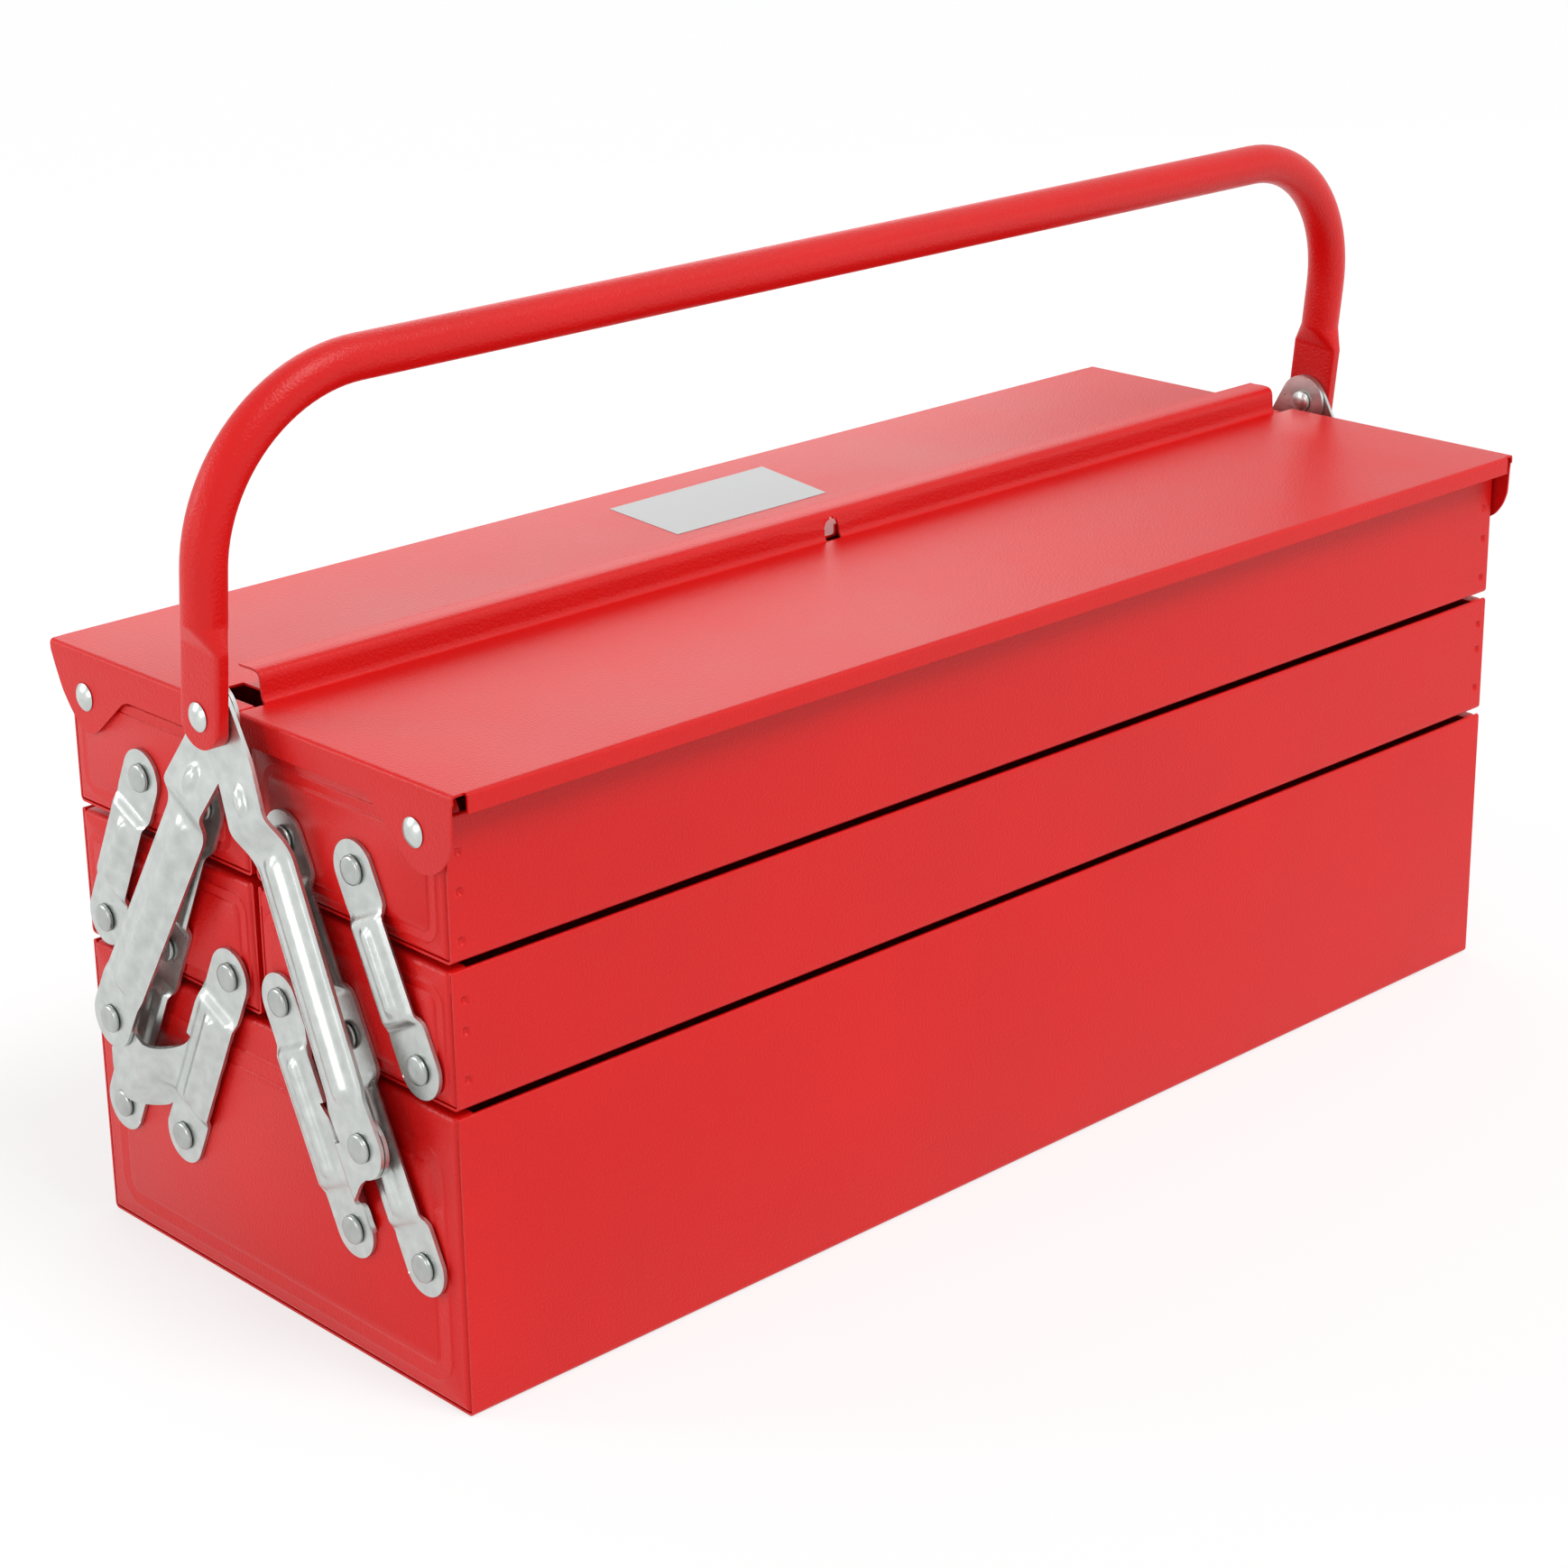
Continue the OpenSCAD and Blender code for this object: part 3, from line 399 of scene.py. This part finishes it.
def stadium(l, w, spans=()):
    """Outline of a strip of width w with round ends round 0 and l, a little narrower along each raised span."""
    r = w / 2
    along = np.linspace(0, l, max(int(l / 1.5), 3))[1:-1]
    half = np.full(len(along), r)
    for a, b in spans:
        half = half - link_waist * smooth(along, a + 11, a + 18) * (1 - smooth(along, b - 18, b - 11))
    return np.vstack([arc(0, 0, r, 90, 270, 20), np.column_stack([along, -half]),
                      arc(l, 0, r, -90, 90, 20), np.column_stack([along[::-1], half[::-1]])])


def inside(points, outline):
    """Even-odd test of points against a closed outline."""
    x, y = points[:, :1], points[:, 1:]
    x0, y0 = outline[:, 0], outline[:, 1]
    x1, y1 = np.roll(x0, -1), np.roll(y0, -1)
    cross = ((y0 > y) != (y1 > y)) & (x < (x1 - x0) * (y - y0) / (y1 - y0 + 1e-12) + x0)
    return cross.sum(1) % 2 == 1


def pressed_sheet(outline, height, step=0.95, margin=0.75):
    """Triangles over an outline and a grid of points inside it by the margin, each lifted by height(u, v)."""
    lo, hi = outline.min(0), outline.max(0)
    gu, gv = np.meshgrid(np.arange(lo[0], hi[0], step), np.arange(lo[1], hi[1], step))
    g = np.column_stack([gu.ravel(), gv.ravel()])
    g = g[inside(g, outline)]
    gap = np.sqrt(((g[:, None] - outline[None]) ** 2).sum(-1)).min(1)
    pts = np.vstack([outline, g[gap > margin]])
    n = len(outline)
    v, _, tri, *_ = delaunay_2d_cdt([Vector(p) for p in pts], [(i, (i + 1) % n) for i in range(n)],
                                    [list(range(n))], 1, 1e-6)
    v = np.array([[q.x, q.y] for q in v])
    tri = np.array([t for t in tri if len(t) == 3])
    a, b, c = v[tri[:, 0]], v[tri[:, 1]], v[tri[:, 2]]
    area = (b[:, 0] - a[:, 0]) * (c[:, 1] - a[:, 1]) - (b[:, 1] - a[:, 1]) * (c[:, 0] - a[:, 0])
    tri[area < 0] = tri[area < 0][:, ::-1]
    return np.column_stack([v, height(v[:, 0], v[:, 1])]), [tri[np.abs(area) > 1e-6]]


def on_link(shell, pivot, lean):
    """Places a sheet's own frame (u along it, v towards the middle, h outwards) on the right end, rear side."""
    p, f = shell
    s, c = np.sin(np.radians(lean)), np.cos(np.radians(lean))
    return np.column_stack([half_l + p[:, 2], pivot[0] - p[:, 0] * s - p[:, 1] * c,
                            pivot[1] + p[:, 0] * c - p[:, 1] * s]), f


def link_height(spans):
    """Outer face of a link: flat ends, a raised middle in each span and a rounded rib along it."""
    def height(u, v):
        h = np.full(len(u), link_s + link_t)
        for a, b in spans:
            up = smooth(u, a + pad_l, a + pad_l + step_l) * (1 - smooth(u, b - pad_l - step_l, b - pad_l))
            rib = smooth(u, a + pad_l + step_l, a + pad_l + step_l + 4) * (
                1 - smooth(u, b - pad_l - step_l - 4, b - pad_l - step_l))
            h = h + up * link_raise + rib * rib_h * (1 - smooth(np.abs(v), 0.9, rib_w / 2))
            h = h - up * edge_drop * smooth(np.abs(v), link_w / 2 - edge_w, link_w / 2 - 0.6)
        return h
    return height


zinc = zinc_plate("zinc_plating")
short_shell = on_link(pressed_sheet(stadium(upper_l, link_w, [(0, upper_l)]), link_height([(0, upper_l)])),
                      (mid_mid[0] + spacing, mid_z), link_lean)
long_spans = [(0, lower_l), (lower_l, lower_l + upper_l)]
long_shell = on_link(pressed_sheet(stadium(lower_l + upper_l, link_w, long_spans), link_height(long_spans)),
                     base_out, link_lean)
ear_u, ear_v, ear_rad, ear_h, ear_ramp = 28.6, -(spacing + 1), 11.5, 11.7, 13
web_outer = {
    "rear": [(45, -8), (40, -9.5), (35, -13), (31.5, -17), (30, -22), (30.5, -28)],
    "front": [(45, -8), (41, -9.5), (37, -12.5), (33, -16.5), (31.5, -21), (31.5, -27)],
}
web_inner = {
    "rear": [(14.5, -38), (6, -34), (2.5, -29), (1.5, -22), (2.2, -16), (4.5, -12), (7.5, -10.2)],
    "front": [(17.5, -34), (16.2, -29), (13, -25), (9.5, -19), (8.5, -14.5), (5, -12.4), (1, -13.6), (-2.6, -10.6)],
}


def rounded_line(points):
    """Cuts every corner of an open line twice, each time at a quarter and three quarters of its stretches."""
    p = np.array(points, float)
    for _ in range(2):
        a, b = p[:-1], p[1:]
        p = np.vstack([p[:1], np.stack([0.75 * a + 0.25 * b, 0.25 * a + 0.75 * b], 1).reshape(-1, 2), p[-1:]])
    return p


def plate_outline(side):
    """The link's stadium with the side arm let into its outer edge between the two free-form edges."""
    l, r = lower_l, link_w / 2
    ear = arc(ear_u, ear_v, ear_rad, 20, -200, 26)
    along = np.linspace(45, l, 8)
    near = np.linspace(l, 0, 24)[1:-1]
    return np.vstack([
        arc(0, 0, r, 90, 262, 18), rounded_line(web_inner[side])[::-1], ear[::-1],
        rounded_line(web_outer[side])[::-1],
        np.column_stack([along[:-1], np.full(7, -r)]), arc(l, 0, r, -90, 90, 20),
        np.column_stack([near, np.full(len(near), r)]),
    ])


def plate_height(u, v):
    """The link's own height, and outwards from its edge a ramp up to the ear's level."""
    body = link_height([(0, lower_l)])(u, np.maximum(v, -link_w / 2 + 2.3))
    ramp = smooth(-v, link_w / 2 - 1, link_w / 2 + ear_ramp)
    return body * (1 - ramp) + (ear_h + link_t) * ramp


plate_shells = {side: on_link(pressed_sheet(plate_outline(side), plate_height), base_in, link_lean)
                for side in ("front", "rear")}
for side, sy in (("front", -1), ("rear", 1)):
    for end, sx in (("left", -1), ("right", 1)):
        at = f"{side}_{end}"
        for name, shell, body in (("short_link", short_shell, "short_links"),
                                  ("long_link", long_shell, "long_links"),
                                  ("link_plate", plate_shells[side], "link_plates")):
            make_piece(f"{name}_sheet_{at}", [mirrored(*shell, sx, sy)], zinc, f"{side}_{body}",
                       [f"{name}_{at}"], wall=link_t, edge=0.3)

# Handle arms: zinc-plated strips riveted to each plate's ear and, two by two, to the handle. They lean in to a
# waist, step out to a crest and lean in again; a broad rib stiffens the lower stretch and a dimple the upper one.
link_dir = np.array([-np.sin(np.radians(link_lean)), np.cos(np.radians(link_lean))])
link_out = np.array([np.cos(np.radians(link_lean)), np.sin(np.radians(link_lean))])
ear_at = np.array(base_in) + ear_u * link_dir - ear_v * link_out
arm_l = float(np.hypot(ear_at[0], pivot_z - ear_at[1]))
arm_lean = float(np.degrees(np.arcsin(ear_at[0] / arm_l)))
arm_w, arm_level, waist_down, crest_down, end_down = 22.5, 18, 50, 40, 21
arm_s, arm_waist, arm_crest, arm_ends = 13.5, 7.9, 12.9, {"front": 10.3, "rear": 8.5}
arm_rib_h, arm_rib_w, arm_edge_drop = 2.2, 13.2, 1.0
dimple_down, dimple_l, dimple_w, dimple_h = 31.0, 13.0, 7.2, 1.9


def arm_height(end_s):
    """Height of the arm's outer face: straight stretches joined by rounded bends, with the rib and the dimple."""
    xs = [-20, arm_level, arm_l - waist_down, arm_l - crest_down, arm_l - end_down, arm_l + 20]
    zs = [arm_s, arm_s, arm_waist, arm_crest, end_s, end_s]

    def height(u, v):
        h = np.mean([np.interp(u + d, xs, zs) for d in np.linspace(-2.2, 2.2, 9)], 0) + link_t
        rib = smooth(u, 14, 20) * (1 - smooth(u, arm_l - 56, arm_l - 49))
        h = h + rib * arm_rib_h * (1 - smooth(np.abs(v), 0.8, arm_rib_w / 2))
        h = h - rib * arm_edge_drop * smooth(np.abs(v), 8.0, arm_w / 2 - 0.4)
        away = np.hypot((u - arm_l + dimple_down) * 2 / dimple_l, v * 2 / dimple_w)
        return h + dimple_h * (1 - smooth(away, 0.45, 1.0))
    return height


for side, sy in (("front", -1), ("rear", 1)):
    shell = on_link(pressed_sheet(stadium(arm_l, arm_w), arm_height(arm_ends[side])), ear_at, arm_lean)
    for end, sx in (("left", -1), ("right", 1)):
        make_piece(f"handle_arm_sheet_{side}_{end}", [mirrored(*shell, sx, sy)], zinc, f"{side}_handle_arms",
                   [f"handle_arm_{side}_{end}"], wall=link_t, edge=0.3)

# Rivets: steel, set through the links with low flat heads in the same zinc, and with domed bright heads at the
# lids and the handle.
rivet_r, head_r, head_h, head_gap, tail_r, tail_h = 3.0, 5.25, 1.8, 0.3, 4.5, 1.2
pivot_span, hinge_span, handle_span = (0, 2.8), (-1, 2.3), (8.2, 17.6)
ear_span = (ear_h, ear_h + 3.3)


def rivet_shell(a, z, s0, s1, domed):
    """Profile of tail, shank and head turned round the rivet's axis; the domed head is part of a circle."""
    top = s1 + head_gap
    if domed:
        ball = (head_r ** 2 + head_h ** 2) / (2 * head_h)
        t = np.linspace(np.arcsin(head_r / ball), 0.03, 9)
        head = np.column_stack([ball * np.sin(t), top + head_h - ball + ball * np.cos(t)])
        head = np.vstack([[[head_r - 0.25, top]], head])
    else:
        head = np.array([[head_r - 0.2, top], [head_r, top + 0.25], [head_r, top + 0.8],
                         [head_r - 0.35, top + 1.35], [head_r - 1.1, top + 1.62], [2.4, top + 1.72],
                         [1.2, top + 1.62], [0.05, top + 1.58]])
    prof = np.vstack([[[0.05, s0 - tail_h], [tail_r - 0.4, s0 - tail_h], [tail_r, s0 - tail_h + 0.4],
                       [tail_r, s0], [rivet_r, s0], [rivet_r, top]], head])
    t = np.linspace(0, 2 * np.pi, 40, endpoint=False)
    r, h = prof[:, :1], prof[:, 1:]
    p = np.stack([half_l + h + 0 * t, a + r * np.cos(t), z + r * np.sin(t)], -1).reshape(-1, 3)
    m, n = len(prof), len(t)
    return p, [grid_faces(m, n, closed=True)[:, ::-1], np.arange((m - 1) * n, m * n)[None],
               np.arange(n)[None, ::-1]]


zinc_rivet, bright_rivet = zinc_plate("rivet_zinc", 0.80), zinc_plate("rivet_bright", 1.02)
places = {
    "base": [base_out, base_in],
    "mid": [(mid_mid[0] + d, mid_z) for d in (spacing, 0, -spacing)],
    "top": [(mid_mid[0] - (top_z - mid_z) * lean_t + d, top_z) for d in (0, spacing)],
}
both_ends = [-1, 1]
make_piece("base_rivet_heads", [mirrored(*rivet_shell(*q, *pivot_span, False), sx, sy) for q in places["base"]
                                for sx in both_ends for sy in both_ends], zinc_rivet, "base",
           ["base_rivets"], edge=0.1)
for side, sy in (("front", -1), ("rear", 1)):
    for level in ("mid", "top"):
        make_piece(f"{level}_rivet_heads_{side}", [mirrored(*rivet_shell(*q, *pivot_span, False), sx, sy)
                                                   for q in places[level] for sx in both_ends], zinc_rivet,
                   f"{side}_{level}_tray", [f"{level}_rivets_{side}"], edge=0.1)
    make_piece(f"lid_rivet_heads_{side}", [mirrored(*rivet_shell(hinge_a, hinge_z, *hinge_span, True), sx, sy)
                                           for sx in both_ends], bright_rivet, f"{side}_top_tray",
               [f"lid_rivets_{side}"], edge=0.1)
    for end, sx in (("left", -1), ("right", 1)):
        make_piece(f"arm_rivet_head_{side}_{end}", [mirrored(*rivet_shell(*ear_at, *ear_span, False), sx, sy)],
                   zinc_rivet, f"{side}_link_plates", [f"arm_rivet_{side}_{end}"], edge=0.1)
make_piece("handle_rivet_heads", [mirrored(*rivet_shell(0, pivot_z, *handle_span, True), sx, 1)
                                  for sx in both_ends], bright_rivet, "handle_pivots",
           ["handle_rivets"], edge=0.1)

# Label: a plain silvery sticker of metallised paper on the rear lid, with nothing printed on it. It is glued flat
# to the coat.
label_corners, label_t, label_gap = [(-37.5, 49.5), (44.8, 50.5), (54.6, 98.8), (-32.0, 96.5)], 0.1, 0.12
label_points = np.column_stack([label_corners, np.full(4, lid_z + label_gap)])
paper = bpy.data.materials.new("label_paper")
paper.use_nodes = True
shader = paper.node_tree.nodes["Principled BSDF"]
shader.inputs["Base Color"].default_value = (0.40, 0.405, 0.405, 1)
shader.inputs["Roughness"].default_value = 0.42
shader.inputs["Metallic"].default_value = 0.55
mesh = bpy.data.meshes.new("lid_label")
mesh.from_pydata((label_points * MM).tolist(), [], [[0, 1, 2, 3]])
sticker = bpy.data.objects.new("lid_label", mesh)
bpy.context.scene.collection.objects.link(sticker)
solid = sticker.modifiers.new("paper", "SOLIDIFY")
solid.thickness, solid.offset = label_t * MM, -1
mesh.materials.append(paper)
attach(sticker, "rear_lid")

# Stage: a plain pale floor, soft lamps over and beside the box, and a white surround for the camera.


def seen_directly(nodes, links, path):
    """The greater of Light Path's camera, glossy and transmission outputs: 1 on rays that show the surround."""
    last = path.outputs["Is Camera Ray"]
    for kind in ("Is Glossy Ray", "Is Transmission Ray"):
        greater = nodes.new("ShaderNodeMath")
        greater.operation = "MAXIMUM"
        links.new(last, greater.inputs[0])
        links.new(path.outputs[kind], greater.inputs[1])
        last = greater.outputs[0]
    return last


floor_half, floor_z, floor_grey, white_share, fill = 6, -0.0002, 0.90, 0.7, 0.62
floor_mesh = bpy.data.meshes.new("floor")
floor_mesh.from_pydata([(x * floor_half, y * floor_half, floor_z) for x, y in ((-1, -1), (1, -1), (1, 1), (-1, 1))],
                       [], [[0, 1, 2, 3]])
floor = bpy.data.objects.new("floor", floor_mesh)
bpy.context.scene.collection.objects.link(floor)
pale = bpy.data.materials.new("pale_floor")
pale.use_nodes = True
fn, fl = pale.node_tree.nodes, pale.node_tree.links
matt = fn["Principled BSDF"]
matt.inputs["Base Color"].default_value = (floor_grey, floor_grey, floor_grey, 1)
matt.inputs["Roughness"].default_value, matt.inputs["Specular IOR Level"].default_value = 0.9, 0.1
white, blend, part = fn.new("ShaderNodeEmission"), fn.new("ShaderNodeMixShader"), fn.new("ShaderNodeMath")
part.operation = "MULTIPLY"
part.inputs[1].default_value = white_share
fl.new(seen_directly(fn, fl, fn.new("ShaderNodeLightPath")), part.inputs[0])
fl.new(part.outputs[0], blend.inputs[0])
fl.new(matt.outputs[0], blend.inputs[1])
fl.new(white.outputs[0], blend.inputs[2])
fl.new(blend.outputs[0], fn["Material Output"].inputs["Surface"])
floor_mesh.materials.append(pale)

world = bpy.data.worlds.new("studio")
bpy.context.scene.world = world
world.use_nodes = True
wn, wl = world.node_tree.nodes, world.node_tree.links
back = wn["Background"]
mix = wn.new("ShaderNodeMix")
mix.data_type = "FLOAT"
wl.new(seen_directly(wn, wl, wn.new("ShaderNodeLightPath")), mix.inputs["Factor"])
mix.inputs["A"].default_value, mix.inputs["B"].default_value = fill, 1.0
wl.new(mix.outputs["Result"], back.inputs["Strength"])
back.inputs["Color"].default_value = (1, 1, 1, 1)


def soft_lamp(name, place, aim, size, power):
    """A square area lamp at place, facing aim."""
    light = bpy.data.lights.new(name, "AREA")
    light.shape, light.size, light.energy = "SQUARE", size, power
    lamp = bpy.data.objects.new(name, light)
    bpy.context.scene.collection.objects.link(lamp)
    lamp.location = place
    lamp.rotation_euler = (Vector(aim) - Vector(place)).to_track_quat("-Z", "Y").to_euler()


soft_lamp("rear", (0.9, 1.5, 0.85), (0, 0, 0.2), 1.3, 4.5)
soft_lamp("left", (-1.75, 0.05, 0.42), (-0.3, 0, 0.13), 0.35, 2.6)
soft_lamp("left_rear", (-1.45, 1.2, 0.75), (-0.3, 0, 0.13), 0.5, 7)
soft_lamp("right", (1.3, -1.35, 0.62), (0, -0.11, 0.18), 0.4, 1.5)
# The key lamp is a wide sun, so that the floor is lit evenly.
sun = bpy.data.lights.new("key", "SUN")
sun.energy, sun.angle = 1.75, np.radians(28)
key = bpy.data.objects.new("key", sun)
bpy.context.scene.collection.objects.link(key)
key.rotation_euler = Vector((-0.12, 0.55, -0.82)).to_track_quat("-Z", "Y").to_euler()

camera = bpy.data.objects.new("camera", bpy.data.cameras.new("camera"))
bpy.context.scene.collection.objects.link(camera)
camera.data.sensor_width, camera.data.lens = 36.0, 79.265
camera.data.shift_x, camera.data.shift_y = 0.04545, -0.04545
camera.data.clip_start, camera.data.clip_end = 0.05, 50
camera.location = (-0.901084, -0.919373, 0.605042)
camera.rotation_euler = (1.234816, 0.019734, -0.744305)
bpy.context.scene.camera = camera
bpy.context.scene.view_settings.view_transform = "Standard"
